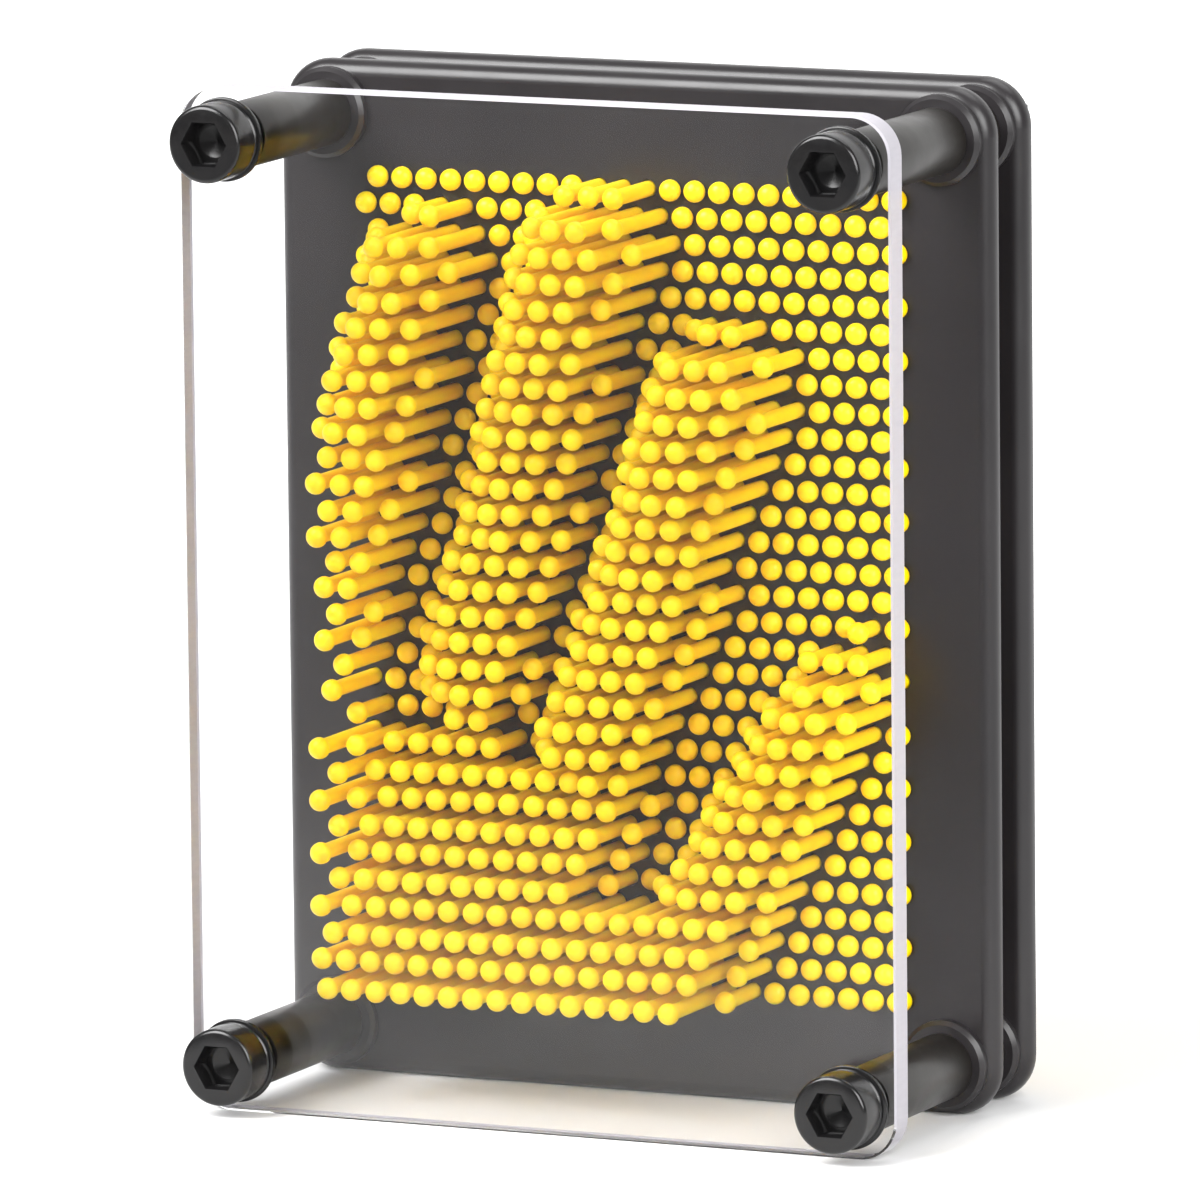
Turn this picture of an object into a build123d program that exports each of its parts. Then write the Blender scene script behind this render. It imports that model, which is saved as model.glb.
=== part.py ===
"""Pin art impression toy: a clear cover and two black pin plates on four screwed posts.

Millimetres. X runs across the toy, Y runs from the clear cover to the pin tails, Z is up.
The toy stands on Z = 0. Every part is drawn where it sits with a hand impression raised.
"""
import os
from math import hypot

from build123d import *

# Clear cover
cover_width = 149.0
cover_height = 200.2
cover_thickness = 6.0
cover_corner = 8.0
cover_edge_break = 0.4
cover_front_y = -47.5
cover_back_y = cover_front_y + cover_thickness

# The two pin plates, one moulding used twice
plate_width = 150.5
plate_height = cover_height
plate_corner = 9.5
plate_thickness = 4.0
plate_front_rounding = 3.0
plate_rear_break = 0.3
front_plate_y = -1.0
rear_plate_y = 15.3
boss_diameter = 17.7
boss_height = 2.2
boss_edge = 0.8

# Posts and fixings at the four corners
post_spacing_x = 129.5
post_spacing_z = 180.0
post_centre_z = cover_height / 2
post_diameter = 13.0
post_bore = 8.6
screw_diameter = 8.0
screw_hole = 8.4
head_diameter = 15.2
head_length = 8.3
head_chamfer = 0.9
socket_across_flats = 8.0
socket_depth = 5.0
washer_diameter = 16.4
washer_thickness = 1.2
washer_edge = 0.4
nut_across_flats = 13.0
nut_thickness = 6.5
nut_chamfer = 0.6
rear_washer_thickness = 1.6
thread_showing = 2.0
thread_end_chamfer = 0.8

# Pins
pin_pitch = 5.2
pins_per_row = 22
pin_rows = 31
pin_head_diameter = 4.3
pin_head_length = 2.6
pin_head_edge = 1.6
pin_shaft_diameter = 3.1
pin_shaft_length = 58.2
pin_tail_chamfer = 0.5
pin_hole = 3.7
pin_head_gap = 0.2
pin_level_step = 3.0
pin_field_half = (pins_per_row - 0.5) / 2 * pin_pitch

# Hand impression. Points are (x, height above the middle of the pin field). Each digit has a tip,
# a root, its half width at both, and how deep it pushes at four knots from tip to root.
digits = {
    "first_finger": ((-39.6, 63.2), (-62.9, -20.0), 11.0, 11.5, (26.0, 28.0, 24.0, 19.0)),
    "second_finger": ((-3.4, 67.2), (-29.5, -15.5), 13.2, 12.6, (28.0, 26.0, 17.5, 15.0)),
    "third_finger": ((23.5, 40.5), (-3.5, -30.0), 13.4, 13.4, (27.0, 27.0, 18.5, 18.0)),
    "thumb": ((46.5, -18.3), (18.0, -66.0), 10.8, 12.5, (20.0, 20.0, 19.0, 19.0)),
}
knots = (0.0, 0.25, 0.55, 1.0)
left_roll_off = 0.8
right_roll_off = 0.45
palm_top = -29.0
palm_top_slope = 0.068
palm_push_at_top = 12.0
palm_push_slope = 0.3
palm_side_push = 23.0
palm_side_slope = 1.2
palm_edge = (22.3, 0.37)
heel_edge = (64.5, 0.5)
heel_top = -60.0
edge_width = 4.0
edge_share = 0.45
stray_pin = (50.7, -5.2)
stray_push = 6.0

post_spots = [(x, z) for x in (-post_spacing_x / 2, post_spacing_x / 2)
              for z in (post_centre_z - post_spacing_z / 2, post_centre_z + post_spacing_z / 2)]
plate_centre_z = plate_height / 2
tube_front_y = cover_back_y
tube_back_y = front_plate_y - boss_height
spacer_front_y = front_plate_y + plate_thickness
spacer_back_y = rear_plate_y - boss_height
nut_seat_y = rear_plate_y + plate_thickness


def upright(y):
    """Drawing plane across the toy at depth y, facing the pin tails."""
    return Plane(origin=(0, y, 0), x_dir=(1, 0, 0), z_dir=(0, 1, 0))


def spots(points):
    """Points (x, z) as the local points of an upright plane."""
    return [(x, -z) for x, z in points]


def pin_field():
    """Every pin centre as (x, z), in staggered rows."""
    field = []
    for row in range(pin_rows):
        stagger = 0.25 if row % 2 else -0.25
        z = plate_centre_z + ((pin_rows - 1) / 2 - row) * pin_pitch
        for column in range(pins_per_row):
            x = (column - (pins_per_row - 1) / 2 - stagger) * pin_pitch
            field.append((x, z))
    return field


def between(knot_values, where):
    """Value at a place from 0 to 1, read off straight lines between the knots."""
    for i in range(len(knots) - 1):
        if where <= knots[i + 1]:
            share = (where - knots[i]) / (knots[i + 1] - knots[i])
            return knot_values[i] + share * (knot_values[i + 1] - knot_values[i])
    return knot_values[-1]


def digit_push(x, height, tip, root, tip_half, root_half, pushes):
    """How far one digit pushes the pin at (x, height)."""
    along_x, along_z = root[0] - tip[0], root[1] - tip[1]
    length = hypot(along_x, along_z)
    travel = ((x - tip[0]) * along_x + (height - tip[1]) * along_z) / length ** 2
    inside = min(max(travel, 0.0), 1.0)
    half = tip_half + (root_half - tip_half) * inside
    offset = hypot(x - tip[0] - inside * along_x, height - tip[1] - inside * along_z) / half
    if offset >= 1.0:
        return 0.0
    on_left = (x - tip[0]) * along_z - (height - tip[1]) * along_x > 0
    roll_off = left_roll_off if on_left else right_roll_off
    return between(pushes, inside) * (1 - roll_off * offset ** 3)


def palm_push(x, height):
    """How far the palm pushes the pin at (x, height)."""
    reach, slope = heel_edge if height < heel_top else palm_edge
    to_edge = reach + slope * height - x
    if height > palm_top - palm_top_slope * (x + pin_field_half) or to_edge < 0:
        return 0.0
    push = max(palm_push_at_top + palm_push_slope * (palm_top - height),
               palm_side_push - palm_side_slope * (x + pin_field_half))
    return push * (edge_share if to_edge < edge_width else 1.0)


def pin_groups():
    """Pins gathered by level, those under the fingers and thumb apart from those under the palm."""
    groups = {}
    for x, z in pin_field():
        height = z - plate_centre_z
        digit = max(digit_push(x, height, *shape) for shape in digits.values())
        palm = palm_push(x, height)
        if hypot(x - stray_pin[0], height - stray_pin[1]) < pin_pitch / 4:
            digit = stray_push
        region = "digits" if digit > palm else "palm"
        level = round(max(digit, palm) / pin_level_step) * pin_level_step
        name = f"pins_{region}_{level:02.0f}" if level else "pins_at_rest"
        groups.setdefault(name, (level, []))[1].append((x, z))
    return groups


os.makedirs("parts", exist_ok=True)

with BuildPart() as front_cover:
    with BuildSketch(upright(cover_front_y)):
        with Locations((0, -cover_height / 2)):
            RectangleRounded(cover_width, cover_height, cover_corner)
        with Locations(*spots(post_spots)):
            Circle(screw_hole / 2, mode=Mode.SUBTRACT)
    extrude(amount=cover_thickness)
    rims = front_cover.faces().sort_by(Axis.Y)
    chamfer(rims[0].outer_wire().edges() + rims[-1].outer_wire().edges(), cover_edge_break)


def build_plate(front_y, label):
    """One pin plate with its front face at depth front_y."""
    with BuildPart() as plate:
        with BuildSketch(upright(front_y)):
            with Locations((0, -plate_centre_z)):
                RectangleRounded(plate_width, plate_height, plate_corner)
        extrude(amount=plate_thickness)
        fillet(plate.faces().sort_by(Axis.Y)[0].edges(), plate_front_rounding)
        chamfer(plate.faces().sort_by(Axis.Y)[-1].edges(), plate_rear_break)
        with BuildSketch(upright(front_y - boss_height)):
            with Locations(*spots(post_spots)):
                Circle(boss_diameter / 2)
        extrude(amount=boss_height)
        chamfer(plate.faces().sort_by(Axis.Y)[:4].edges(), boss_edge)
        with BuildSketch(upright(front_y - boss_height)):
            with Locations(*spots(post_spots)):
                Circle(screw_hole / 2)
            with Locations(*spots(pin_field())):
                Circle(pin_hole / 2)
        extrude(amount=boss_height + plate_thickness, mode=Mode.SUBTRACT)
    plate.part.label = label
    return plate.part


front_plate = build_plate(front_plate_y, "front_plate")
rear_plate = build_plate(rear_plate_y, "rear_plate")


def build_rings(outer, bore, front_y, back_y, edge, label):
    """Four plain rings or tubes on the posts, from front_y to back_y."""
    with BuildPart() as rings:
        with BuildSketch(upright(front_y)):
            with Locations(*spots(post_spots)):
                Circle(outer / 2)
                Circle(bore / 2, mode=Mode.SUBTRACT)
        extrude(amount=back_y - front_y)
        if edge:
            chamfer(rings.edges().filter_by(GeomType.CIRCLE).filter_by(
                lambda e: abs(e.radius - outer / 2) < 0.01), edge)
    rings.part.label = label
    return rings.part


head_washers = build_rings(washer_diameter, screw_hole, cover_front_y - washer_thickness,
                           cover_front_y, washer_edge, "head_washers")
cover_standoffs = build_rings(post_diameter, post_bore, tube_front_y, tube_back_y, 0,
                              "cover_standoffs")
plate_spacers = build_rings(post_diameter, post_bore, spacer_front_y, spacer_back_y, 0,
                            "plate_spacers")
nut_washers = build_rings(washer_diameter, screw_hole, nut_seat_y,
                          nut_seat_y + rear_washer_thickness, 0, "nut_washers")

head_seat_y = cover_front_y - washer_thickness
nut_front_y = nut_seat_y + rear_washer_thickness
screw_end_y = nut_front_y + nut_thickness + thread_showing

with BuildPart() as cap_screws:
    with BuildSketch(upright(head_seat_y - head_length)):
        with Locations(*spots(post_spots)):
            Circle(head_diameter / 2)
    extrude(amount=head_length)
    chamfer(cap_screws.faces().sort_by(Axis.Y)[:4].edges(), head_chamfer)
    with BuildSketch(upright(head_seat_y)):
        with Locations(*spots(post_spots)):
            Circle(screw_diameter / 2)
    extrude(amount=screw_end_y - head_seat_y)
    chamfer(cap_screws.faces().sort_by(Axis.Y)[-4:].edges(), thread_end_chamfer)
    with BuildSketch(upright(head_seat_y - head_length)):
        with Locations(*spots(post_spots)):
            RegularPolygon(socket_across_flats / 2, 6, major_radius=False)
    extrude(amount=socket_depth, mode=Mode.SUBTRACT)

with BuildPart() as rear_nuts:
    with BuildSketch(upright(nut_front_y)):
        with Locations(*spots(post_spots)):
            RegularPolygon(nut_across_flats / 2, 6, major_radius=False)
            Circle(screw_diameter / 2, mode=Mode.SUBTRACT)
    extrude(amount=nut_thickness)
    chamfer(rear_nuts.faces().sort_by(Axis.Y)[-4:].edges().filter_by(GeomType.LINE), nut_chamfer)

with BuildPart() as pin:
    with BuildSketch(Plane.XY):
        with BuildLine():
            head_radius = pin_head_diameter / 2
            shaft_radius = pin_shaft_diameter / 2
            crown = pin_head_edge
            Polyline((0, -pin_head_length), (head_radius - crown, -pin_head_length))
            RadiusArc((head_radius - crown, -pin_head_length),
                      (head_radius, crown - pin_head_length), -crown)
            Polyline((head_radius, crown - pin_head_length), (head_radius, 0), (shaft_radius, 0),
                     (shaft_radius, pin_shaft_length - pin_tail_chamfer),
                     (shaft_radius - pin_tail_chamfer, pin_shaft_length),
                     (0, pin_shaft_length), (0, -pin_head_length))
        make_face()
    revolve(axis=Axis.Y)

pin_seat_y = front_plate_y - pin_head_gap


def build_pins(level, centres, label):
    """One group of equal pins raised by the same amount."""
    with BuildPart() as group:
        with Locations(*[(x, pin_seat_y - level, z) for x, z in centres]):
            add(pin.part)
    group.part.label = label
    return group.part


front_cover.part.label = "front_cover"
cap_screws.part.label = "cap_screws"
rear_nuts.part.label = "rear_nuts"

built = [front_cover.part, front_plate, rear_plate, head_washers, cover_standoffs,
         plate_spacers, nut_washers, cap_screws.part, rear_nuts.part]
built += [build_pins(level, centres, name) for name, (level, centres) in pin_groups().items()]

for part in built:
    export_step(part, f"parts/{part.label}.step")
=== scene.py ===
"""Looks for the pin art impression toy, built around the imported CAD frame. Metres, Z up."""
import math
import random

import bpy
import numpy as np
from mathutils import Matrix, Vector


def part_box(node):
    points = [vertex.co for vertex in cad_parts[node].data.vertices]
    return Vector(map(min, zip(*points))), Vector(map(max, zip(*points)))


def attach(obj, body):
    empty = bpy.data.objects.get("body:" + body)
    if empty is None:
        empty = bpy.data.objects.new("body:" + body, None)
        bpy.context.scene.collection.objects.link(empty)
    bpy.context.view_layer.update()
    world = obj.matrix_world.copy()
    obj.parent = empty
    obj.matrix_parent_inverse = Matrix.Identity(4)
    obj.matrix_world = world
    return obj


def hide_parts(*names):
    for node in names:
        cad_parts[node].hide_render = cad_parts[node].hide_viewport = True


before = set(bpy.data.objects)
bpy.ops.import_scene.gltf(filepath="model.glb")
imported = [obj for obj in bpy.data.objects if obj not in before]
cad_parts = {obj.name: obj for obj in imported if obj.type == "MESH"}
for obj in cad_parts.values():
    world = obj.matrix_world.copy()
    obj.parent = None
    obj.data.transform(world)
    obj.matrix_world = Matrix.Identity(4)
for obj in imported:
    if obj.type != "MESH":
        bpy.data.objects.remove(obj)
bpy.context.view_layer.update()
scene = bpy.context.scene
MM = 0.001

# ---------------------------------------------------------------- camera
CAMERA_YAW = math.radians(24.74)      # the camera stands to the right of the toy
CAMERA_PITCH = math.radians(8.99)     # and looks slightly down
CAMERA_ROLL = math.radians(-0.57)
CAMERA_DISTANCE = 2808.7 * MM
CAMERA_SLIDE_X = 7.09 * MM
CAMERA_SLIDE_Y = 2.81 * MM
AIM_BEFORE_BACK = 4.0 * MM            # the aim lies this far before the front plate's back
FOCAL_WIDTHS = 12.0591667             # focal length over the picture's width
SENSOR = 36.0


def camera_axes():
    """Right, up and forward directions of the camera."""
    forward = Vector((-math.sin(CAMERA_YAW) * math.cos(CAMERA_PITCH),
                      math.cos(CAMERA_YAW) * math.cos(CAMERA_PITCH), -math.sin(CAMERA_PITCH)))
    level = Vector((math.cos(CAMERA_YAW), math.sin(CAMERA_YAW), 0.0))
    up = level.cross(forward)
    right = math.cos(CAMERA_ROLL) * level + math.sin(CAMERA_ROLL) * up
    return right, right.cross(forward), forward


plate_low, plate_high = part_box("front_plate")
plate_back_y = plate_high.y
plate_mid_z = (plate_low.z + plate_high.z) / 2

right, up, forward = camera_axes()
aim = Vector((0.0, plate_back_y - AIM_BEFORE_BACK, plate_mid_z))
camera_at = aim - CAMERA_SLIDE_X * right - CAMERA_SLIDE_Y * up - CAMERA_DISTANCE * forward
camera_data = bpy.data.cameras.new("camera")
camera_data.sensor_width = SENSOR
camera_data.lens = SENSOR * FOCAL_WIDTHS
camera_data.clip_start = 0.05
camera_data.clip_end = 50.0
camera = bpy.data.objects.new("camera", camera_data)
camera.matrix_world = Matrix((
    (right.x, up.x, -forward.x, camera_at.x),
    (right.y, up.y, -forward.y, camera_at.y),
    (right.z, up.z, -forward.z, camera_at.z),
    (0, 0, 0, 1)))
scene.collection.objects.link(camera)
scene.camera = camera


# ---------------------------------------------------------------- shader nodes
def new_material(name):
    """An empty material with one Principled shader."""
    material = bpy.data.materials.new(name)
    material.use_nodes = True
    nodes = material.node_tree.nodes
    nodes.clear()
    output = nodes.new("ShaderNodeOutputMaterial")
    shader = nodes.new("ShaderNodeBsdfPrincipled")
    material.node_tree.links.new(shader.outputs[0], output.inputs[0])
    return material, shader


def link(material, source, target):
    material.node_tree.links.new(source, target)


def add_node(material, kind, **values):
    """A node with its attributes or input sockets set by name."""
    node = material.node_tree.nodes.new(kind)
    for key, value in values.items():
        if hasattr(node, key):
            setattr(node, key, value)
        else:
            node.inputs[key].default_value = value
    return node


def math_node(material, operation, *sources):
    node = add_node(material, "ShaderNodeMath", operation=operation)
    for socket, source in zip(node.inputs, sources):
        link(material, source, socket)
    return node.outputs[0]


def axes_of(material, source):
    """The X, Y and Z parts of a vector."""
    node = add_node(material, "ShaderNodeSeparateXYZ")
    link(material, source, node.inputs[0])
    return node.outputs


def noise(material, scale, detail=2.0, roughness=0.5, stretch=(1, 1, 1)):
    coords = add_node(material, "ShaderNodeTexCoord")
    mapping = add_node(material, "ShaderNodeMapping", Scale=stretch)
    texture = add_node(material, "ShaderNodeTexNoise", Scale=scale, Detail=detail,
                       Roughness=roughness)
    link(material, coords.outputs["Object"], mapping.inputs["Vector"])
    link(material, mapping.outputs["Vector"], texture.inputs["Vector"])
    return texture.outputs["Fac"]


def ramp(material, source, stops):
    """Colours by a factor. stops: (position, colour)."""
    node = add_node(material, "ShaderNodeValToRGB")
    while len(node.color_ramp.elements) < len(stops):
        node.color_ramp.elements.new(0.5)
    for element, (position, colour) in zip(node.color_ramp.elements, stops):
        element.position = position
        element.color = (*colour, 1.0)
    link(material, source, node.inputs["Fac"])
    return node.outputs["Color"]


def map_range(material, source, low, high, start=0.0, end=1.0):
    """low where source is start or less, high where it is end or more."""
    node = add_node(material, "ShaderNodeMapRange")
    node.inputs["From Min"].default_value = start
    node.inputs["From Max"].default_value = end
    node.inputs["To Min"].default_value = low
    node.inputs["To Max"].default_value = high
    link(material, source, node.inputs["Value"])
    return node.outputs["Result"]


def blend(material, factor, low, high, kind):
    """low where factor is 0, high where it is 1; kind is FLOAT or RGBA."""
    node = add_node(material, "ShaderNodeMix", data_type=kind)
    sockets = [s for s in node.inputs if s.enabled]
    for socket, source in zip(sockets, (factor, low, high)):
        if isinstance(source, tuple):
            socket.default_value = (*source, 1.0)
        else:
            link(material, source, socket)
    return next(s for s in node.outputs if s.enabled)


def bump(material, shader, source, distance, strength):
    node = add_node(material, "ShaderNodeBump", Distance=distance, Strength=strength)
    link(material, source, node.inputs["Height"])
    link(material, node.outputs["Normal"], shader.inputs["Normal"])


# ---------------------------------------------------------------- plastics
GRAIN_STRENGTH = 0.6


def plastic(name, dark, light, roughness, specular, patch_scale, grain_scale, grain_depth):
    """Moulded plastic: mottled colour, uneven gloss and a fine grain."""
    material, shader = new_material(name)
    patches = noise(material, patch_scale, 3.0)
    link(material, ramp(material, patches, [(0.32, dark), (0.68, light)]),
         shader.inputs["Base Color"])
    wear = noise(material, patch_scale * 3.1, 4.0, 0.6)
    link(material, map_range(material, wear, *roughness, 0.3, 0.7), shader.inputs["Roughness"])
    grain = noise(material, grain_scale, 2.0, 0.6)
    bump(material, shader, grain, grain_depth, GRAIN_STRENGTH)
    shader.inputs["Specular IOR Level"].default_value = specular
    return material, shader


plate_material, _ = plastic(
    "black_moulding", (0.0130, 0.0115, 0.0125), (0.0190, 0.0168, 0.0180),
    roughness=(0.28, 0.36), specular=0.42,
    patch_scale=22, grain_scale=1500, grain_depth=0.010 * MM)
tube_material, _ = plastic(
    "black_tube", (0.012, 0.0105, 0.009), (0.020, 0.0175, 0.015),
    roughness=(0.30, 0.40), specular=0.4,
    patch_scale=60, grain_scale=1800, grain_depth=0.010 * MM)
screw_material, _ = plastic(
    "black_fixing", (0.004, 0.004, 0.0045), (0.008, 0.0075, 0.0075),
    roughness=(0.17, 0.27), specular=0.4,
    patch_scale=150, grain_scale=2500, grain_depth=0.008 * MM)
pin_material, pin_shader = plastic(
    "yellow_pin", (1.0, 0.62, 0.0), (1.0, 0.72, 0.001),
    roughness=(0.30, 0.42), specular=0.3,
    patch_scale=120, grain_scale=2500, grain_depth=0.010 * MM)
pin_shader.inputs["Subsurface Weight"].default_value = 0.3
pin_shader.inputs["Subsurface Radius"].default_value = (1.0, 0.45, 0.05)
pin_shader.inputs["Subsurface Scale"].default_value = 2.0 * MM

# ---------------------------------------------------------------- clear cover
FACE_COLOUR = (0.985, 0.985, 0.99)
# painted light: the pale colour painted on the left and bottom cut sides
PAINTED_LIGHT_CUT = (0.97, 0.97, 0.97)
GREY_CUT = (0.40, 0.385, 0.42)
CUT_TRANSMISSION = 0.12

cover_material, cover_shader = new_material("clear_acrylic")
cover_shader.inputs["IOR"].default_value = 1.33    # weaker mirror than real acrylic
geometry = add_node(cover_material, "ShaderNodeNewGeometry")
normal = axes_of(cover_material, geometry.outputs["Normal"])
# the cut sides of the sheet are pale and cloudy, its two faces are clear
flat_side = map_range(cover_material, math_node(cover_material, "ABSOLUTE", normal["Y"]),
                      1.0, 0.0, 0.45, 0.5)
# so are the small bevels along its top and right edges
to_corner = math_node(cover_material, "ADD", normal["X"], normal["Z"])
bevel = map_range(cover_material, to_corner, 0.0, 1.0, 0.5, 0.6)
cut_side = math_node(cover_material, "MAXIMUM", flat_side, bevel)
link(cover_material, map_range(cover_material, cut_side, 1.0, CUT_TRANSMISSION),
     cover_shader.inputs["Transmission Weight"])
# painted light: the left and bottom cut sides are painted paler than the top and right ones,
# standing in for light those sides don't catch
cut_colour_with_painted_light = ramp(cover_material, map_range(cover_material, to_corner, 0.0, 1.0, -0.5, 0.3),
                   [(0.0, PAINTED_LIGHT_CUT), (1.0, GREY_CUT)])
link(cover_material, blend(cover_material, cut_side, FACE_COLOUR, cut_colour_with_painted_light, "RGBA"),
     cover_shader.inputs["Base Color"])
haze = noise(cover_material, 18, 3.0)
polish = map_range(cover_material, haze, 0.0, 0.006, 0.35, 0.75)
saw_marks = noise(cover_material, 900, 3.0, 0.6, (1.0, 0.2, 1.0))
saw_roughness = map_range(cover_material, saw_marks, 0.35, 0.6, 0.3, 0.7)
link(cover_material, blend(cover_material, cut_side, polish, saw_roughness, "FLOAT"),
     cover_shader.inputs["Roughness"])


def dress(name, material):
    """Gives a CAD node a material of its own without touching its mesh."""
    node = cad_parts[name]
    if not node.material_slots:
        node.data.materials.append(material)
    for slot in node.material_slots:
        slot.link = "OBJECT"
        slot.material = material


dress("front_cover", cover_material)
dress("front_plate", plate_material)
dress("rear_plate", plate_material)

# ---------------------------------------------------------------- turned pieces
SHARP_ANGLE = math.radians(38)
RING_SEGMENTS = 64
SCREW_SEGMENTS = 72
PIN_SEGMENTS = 20
UPRIGHT = ((1, 0, 0), (0, 1, 0), (0, 0, 1))


def turned(name, rings, centres, material, body, replaced, segments):
    """A piece of equal turned shapes along Y.

    rings: (radius or radius(angle, y), y); the profile is closed when the last is the first.
    centres: (offset, 3 x 3 matrix) of each shape.
    """
    angles = [2 * math.pi * k / segments for k in range(segments)]
    shape = []
    for radius, y in rings:
        for angle in angles:
            r = radius(angle, y) if callable(radius) else radius
            shape.append((r * math.cos(angle), y, r * math.sin(angle)))
    faces = []
    count = len(rings)
    for i in range(count - 1):
        for k in range(segments):
            n = (k + 1) % segments
            faces.append(((i + 1) * segments + k, (i + 1) * segments + n,
                          i * segments + n, i * segments + k))
    if rings[0] == rings[-1]:
        shape = shape[:-segments]
        faces = [tuple(v % len(shape) for v in f) for f in faces]
    else:
        faces.append(tuple(range(segments)))
        faces.append(tuple(range(count * segments - 1, (count - 1) * segments - 1, -1)))
    shape = np.array(shape)
    vertices, polygons = [], []
    for offset, matrix in centres:
        base = len(vertices)
        moved = shape @ np.array(matrix).T + np.array(offset)
        vertices.extend(map(tuple, moved))
        polygons.extend(tuple(v + base for v in f) for f in faces)
    mesh = bpy.data.meshes.new(name)
    mesh.from_pydata(vertices, [], polygons)
    mesh.validate()
    mesh.polygons.foreach_set("use_smooth", [True] * len(mesh.polygons))
    mesh.set_sharp_from_angle(angle=SHARP_ANGLE)
    mesh.materials.append(material)
    piece = bpy.data.objects.new(name, mesh)
    scene.collection.objects.link(piece)
    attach(piece, body)
    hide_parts(replaced)


def corner_centres(node, radius):
    """The four posts' centres, from a node of four round solids of this radius."""
    low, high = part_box(node)
    return [((x, 0.0, z), UPRIGHT) for x in (low.x + radius, high.x - radius)
            for z in (low.z + radius, high.z - radius)]


def hexagon(across_flats, turned_by=0.0):
    """Radius of a hexagon at an angle."""
    def radius(angle, y):
        turn = (angle + turned_by) % (math.pi / 3) - math.pi / 6
        return across_flats / 2 / math.cos(turn)
    return radius


# ---------------------------------------------------------------- tubes and washers
def ring_profile(outer, inner, front, back, edge):
    """Closed profile of a tube with softened rims."""
    return [(inner, front), (outer - edge, front), (outer - edge * 0.3, front + edge * 0.3),
            (outer, front + edge), (outer, back - edge), (outer - edge * 0.3, back - edge * 0.3),
            (outer - edge, back), (inner, back), (inner, front)]


def make_ring(node, outer, inner, edge, material):
    """Four tubes or washers in place of a CAD node, as long as the node is deep."""
    low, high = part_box(node)
    turned(node + "_shown", ring_profile(outer, inner, low.y, high.y, edge),
           corner_centres(node, outer), material, "frame", node, RING_SEGMENTS)


make_ring("cover_standoffs", 6.5 * MM, 4.3 * MM, 0.25 * MM, tube_material)
make_ring("plate_spacers", 6.5 * MM, 4.3 * MM, 0.25 * MM, tube_material)
make_ring("head_washers", 8.2 * MM, 4.2 * MM, 0.35 * MM, screw_material)
make_ring("nut_washers", 8.2 * MM, 4.2 * MM, 0.3 * MM, screw_material)

# ---------------------------------------------------------------- screws and nuts
HEAD_RADIUS = 7.6 * MM
HEAD_RIM = 0.9 * MM              # rounding of the head's front edge
SOCKET_FLATS = 8.0 * MM
SOCKET_DEPTH = 5.0 * MM
DRILL_POINT_DEPTH = 6.1 * MM
SHANK = 4.0 * MM                 # radius
THREAD = 1.25 * MM               # pitch
THREAD_DEPTH = 0.55 * MM
THREAD_LENGTH = 11.8 * MM        # from the screw's end
THREAD_STEPS = 90
END_BEVEL = 0.7 * MM
NUT_FLATS = 13.0 * MM
NUT_EDGE = 0.7 * MM              # depth of the bevel at the nut's corners

screw_low, screw_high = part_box("cap_screws")
head_front = screw_low.y
head_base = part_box("head_washers")[0].y
socket = hexagon(SOCKET_FLATS)


def threaded(angle, y):
    """Radius of the screw's thread at an angle and depth."""
    phase = ((y / THREAD - angle / (2 * math.pi)) % 1.0)
    return SHANK - THREAD_DEPTH * (1 - abs(2 * phase - 1))


def socket_mouth(angle, y):
    return socket(angle, y) * 1.06


screw_rings = [
    # drill point, floor and sides of the socket
    (0.02 * MM, head_front + DRILL_POINT_DEPTH),
    (3.0 * MM, head_front + SOCKET_DEPTH + 0.05 * MM),
    (3.2 * MM, head_front + SOCKET_DEPTH),
    (socket, head_front + SOCKET_DEPTH),
    (socket, head_front + 0.35 * MM),
    (socket_mouth, head_front),
    # rounded rim of the head
    (HEAD_RADIUS - HEAD_RIM, head_front),
    (HEAD_RADIUS - HEAD_RIM * 0.62, head_front + HEAD_RIM * 0.12),
    (HEAD_RADIUS - HEAD_RIM * 0.3, head_front + HEAD_RIM * 0.34),
    (HEAD_RADIUS - HEAD_RIM * 0.08, head_front + HEAD_RIM * 0.66),
    (HEAD_RADIUS, head_front + HEAD_RIM * 1.1),
    # the fine ring line near its foot
    (HEAD_RADIUS, head_base - 1.4 * MM),
    (HEAD_RADIUS - 0.3 * MM, head_base - 1.15 * MM),
    (HEAD_RADIUS - 0.3 * MM, head_base - 0.95 * MM),
    (HEAD_RADIUS, head_base - 0.7 * MM),
    (HEAD_RADIUS, head_base - 0.2 * MM),
    (HEAD_RADIUS - 0.2 * MM, head_base),
    # plain shank
    (SHANK, head_base),
    (SHANK, screw_high.y - THREAD_LENGTH - 0.2 * MM),
]
thread_start = screw_high.y - THREAD_LENGTH
thread_end = screw_high.y - END_BEVEL
for k in range(THREAD_STEPS + 1):
    screw_rings.append((threaded, thread_start + (thread_end - thread_start) * k / THREAD_STEPS))
screw_rings.append((SHANK - 0.75 * MM, screw_high.y))
posts = corner_centres("cap_screws", HEAD_RADIUS)
turned("cap_screws_shown", screw_rings, posts, screw_material, "frame", "cap_screws",
       SCREW_SEGMENTS)

nut_low, nut_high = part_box("rear_nuts")
nut_hex = hexagon(NUT_FLATS, math.radians(30))    # flats to the sides


def nut_rim(angle, y):
    """The nut's outline where the round bevel cuts its corners."""
    return min(nut_hex(angle, y), 6.75 * MM)


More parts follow.
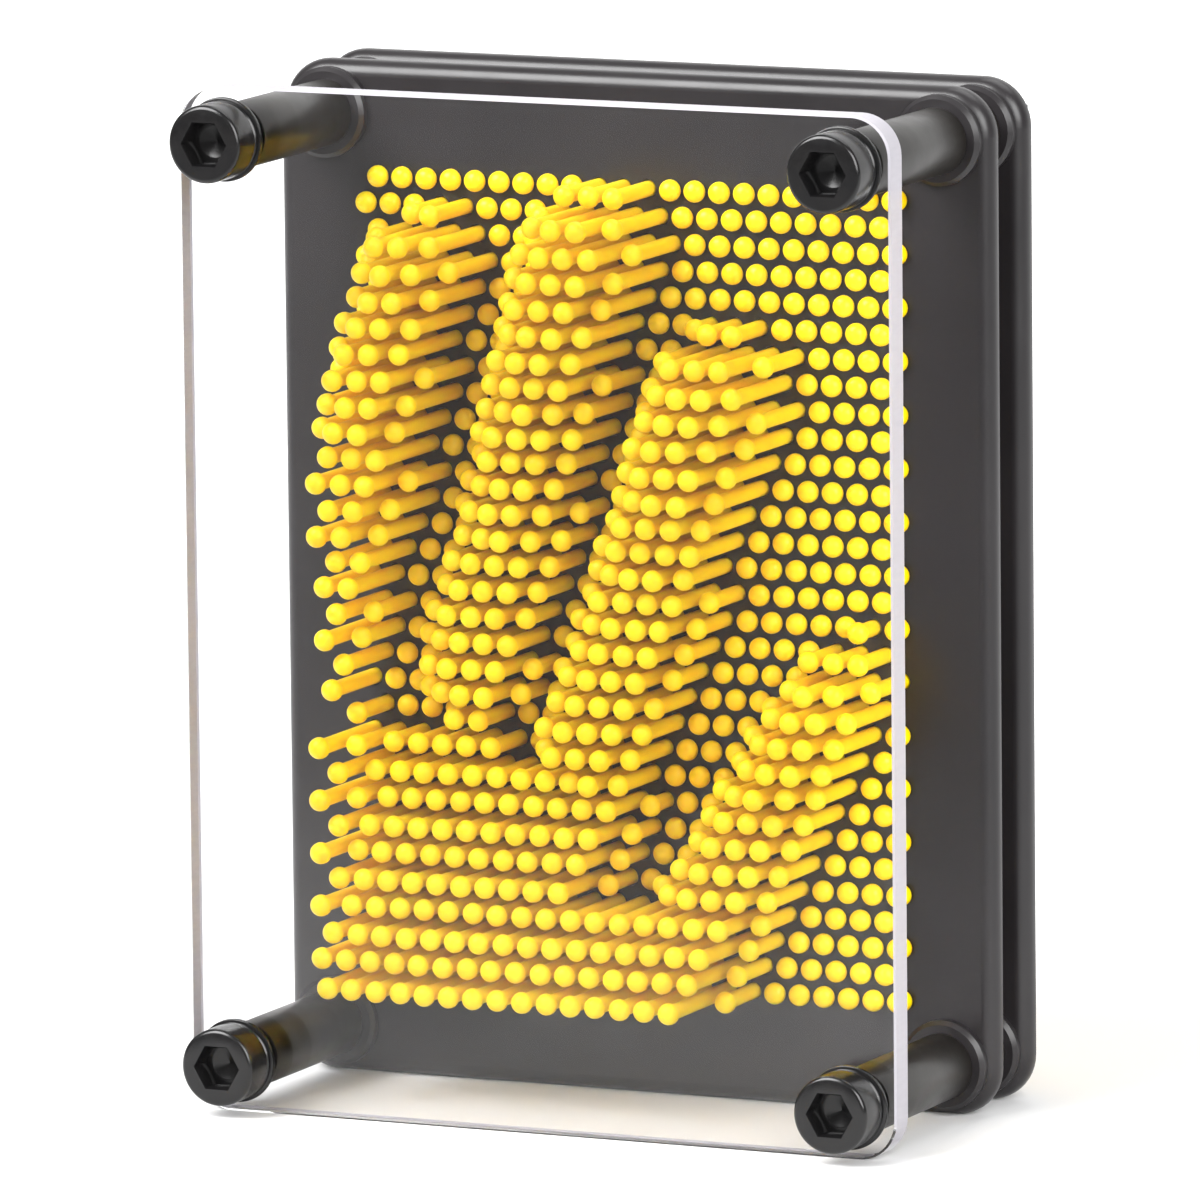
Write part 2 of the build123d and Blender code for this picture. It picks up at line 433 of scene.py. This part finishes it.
nut_face = 6.3 * MM
nut_bore = SHANK - 0.3 * MM
nut_rings = [
    (nut_bore, nut_low.y),
    (nut_face, nut_low.y),
    (nut_rim, nut_low.y + NUT_EDGE / 2),
    (nut_hex, nut_low.y + NUT_EDGE),
    (nut_hex, nut_high.y - NUT_EDGE),
    (nut_rim, nut_high.y - NUT_EDGE / 2),
    (nut_face, nut_high.y),
    (SHANK + 0.2 * MM, nut_high.y),
    (nut_bore, nut_high.y - 0.5 * MM),
    (nut_bore, nut_low.y),
]
turned("rear_nuts_shown", nut_rings, posts, screw_material, "frame", "rear_nuts",
       SCREW_SEGMENTS)

# ---------------------------------------------------------------- pins
PITCH = 5.2 * MM
ROWS, COLUMNS = 31, 22
STAGGER = 0.25       # of the pitch, to the left and to the right in turn
PIN_HEAD = 2.15 * MM
PIN_SHAFT = 1.55 * MM
HEAD_LENGTH = 2.6 * MM
DOME = 1.75 * MM
DOME_TURNS = (5, 18, 32, 46, 60, 75, 90)    # degrees
MOST_LEAN = 0.003    # slope of a pin; at the full travel it is still clear of its holes
LEAN_PIVOT = plate_back_y + 4 * MM
RANDOM_SEED = 7


def pin_sites(node):
    """Centres (x, z) of the pins of one CAD node, snapped to the staggered field."""
    points = np.array([v.co[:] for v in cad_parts[node].data.vertices])
    rows = np.rint((ROWS - 1) / 2 - (points[:, 2] - plate_mid_z) / PITCH)
    stagger = np.where(rows % 2 == 1, STAGGER, -STAGGER)
    columns = np.rint(points[:, 0] / PITCH + (COLUMNS - 1) / 2 + stagger)
    found = []
    for row, column in sorted(set(zip(rows.astype(int), columns.astype(int)))):
        shift = STAGGER if row % 2 else -STAGGER
        found.append(((column - (COLUMNS - 1) / 2 - shift) * PITCH,
                      plate_mid_z + ((ROWS - 1) / 2 - row) * PITCH))
    return found


def pin_rings(front, back):
    """Profile of one pin: low dome, rounded rim, shaft and softened tail."""
    under = front + HEAD_LENGTH
    rings = []
    for turn in DOME_TURNS:
        angle = math.radians(turn)
        rings.append((PIN_HEAD * math.sin(angle), front + DOME * (1 - math.cos(angle))))
    rings += [(PIN_HEAD, under - 0.4 * MM), (PIN_HEAD - 0.15 * MM, under - 0.1 * MM),
              (PIN_HEAD - 0.45 * MM, under), (PIN_SHAFT + 0.2 * MM, under),
              (PIN_SHAFT, under + 0.25 * MM), (PIN_SHAFT, (under + back) / 2),
              (PIN_SHAFT, back - 0.5 * MM), (PIN_SHAFT - 0.35 * MM, back - 0.1 * MM),
              (PIN_SHAFT - 0.7 * MM, back)]
    return rings


rng = random.Random(RANDOM_SEED)
for node in sorted(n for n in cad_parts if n.startswith("pins_")):
    low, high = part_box(node)
    centres = []
    for x, z in pin_sites(node):
        tilt_x = rng.uniform(-MOST_LEAN, MOST_LEAN)
        tilt_z = rng.uniform(-MOST_LEAN, MOST_LEAN)
        lean = ((1, tilt_x, 0), (0, 1, 0), (0, tilt_z, 1))
        centres.append(((x - tilt_x * LEAN_PIVOT, 0.0, z - tilt_z * LEAN_PIVOT), lean))
    turned(node + "_shown", pin_rings(low.y, high.y), centres, pin_material, node, node,
           PIN_SEGMENTS)

# ---------------------------------------------------------------- studio
FLOOR_NEAR, FLOOR_FAR = (0.19, 0.19, 0.19), (0.72, 0.72, 0.72)
PAINTED_FLOOR_GLOW = 0.85

floor_material, floor_shader = new_material("studio_paper")
floor_place = add_node(floor_material, "ShaderNodeTexCoord")
floor_depth = axes_of(floor_material, floor_place.outputs["Object"])["Y"]
# painted light: dimmer in front, where the cover mirrors it, and glowing paler under and behind
# the toy, though the floor is no lamp
floor_tone = map_range(floor_material, floor_depth, 0.0, 1.0, -0.42, -0.12)
link(floor_material, ramp(floor_material, floor_tone, [(0.0, FLOOR_NEAR), (1.0, FLOOR_FAR)]),
     floor_shader.inputs["Base Color"])
# painted light: the floor's glow, strongest behind the toy, stands in for light falling on the
# paper
floor_shader.inputs["Emission Color"].default_value = (1, 1, 1, 1)
link(floor_material, map_range(floor_material, floor_depth, 0.0, PAINTED_FLOOR_GLOW, -0.1, 1.5),
     floor_shader.inputs["Emission Strength"])
floor_shader.inputs["Roughness"].default_value = 0.9
floor_shader.inputs["Specular IOR Level"].default_value = 0.1


def sweep_floor():
    """A flat floor that curves up into a backdrop far behind the toy."""
    half, near, far, bend, top = 6.0, -6.0, 3.2, 1.2, 4.5
    line = [(near, 0.0), (far - bend, 0.0)]
    for degrees in range(6, 91, 6):
        turn = math.radians(degrees)
        line.append((far - bend + bend * math.sin(turn), bend - bend * math.cos(turn)))
    line.append((far, top))
    vertices = [(side, y, z) for y, z in line for side in (-half, half)]
    faces = [(2 * i, 2 * i + 1, 2 * i + 3, 2 * i + 2) for i in range(len(line) - 1)]
    mesh = bpy.data.meshes.new("studio_floor")
    mesh.from_pydata(vertices, [], faces)
    mesh.polygons.foreach_set("use_smooth", [True] * len(mesh.polygons))
    mesh.materials.append(floor_material)
    floor = bpy.data.objects.new("studio_floor", mesh)
    scene.collection.objects.link(floor)


sweep_floor()

LIGHTS_AIM = Vector((0.0, 0.0, 0.1))


def area_light(name, place, size, power):
    """A white rectangular light that faces the toy."""
    data = bpy.data.lights.new(name, "AREA")
    data.shape = "RECTANGLE"
    data.size, data.size_y = size
    data.energy = power
    light = bpy.data.objects.new(name, data)
    light.location = place
    light.rotation_euler = (LIGHTS_AIM - Vector(place)).to_track_quat("-Z", "Y").to_euler()
    scene.collection.objects.link(light)


area_light("key", (-0.9, -1.3, 1.5), (1.4, 1.4), 98)
area_light("fill", (1.4, -1.2, 0.9), (1.2, 1.2), 48)
area_light("top", (0.2, 0.5, 1.8), (1.4, 1.0), 14)

world = bpy.data.worlds.new("studio_world")
world.use_nodes = True
world_light = world.node_tree.nodes["Background"]
world_light.inputs["Color"].default_value = (1, 1, 1, 1)
world_light.inputs["Strength"].default_value = 0.25
scene.world = world
scene.view_settings.view_transform = "Standard"
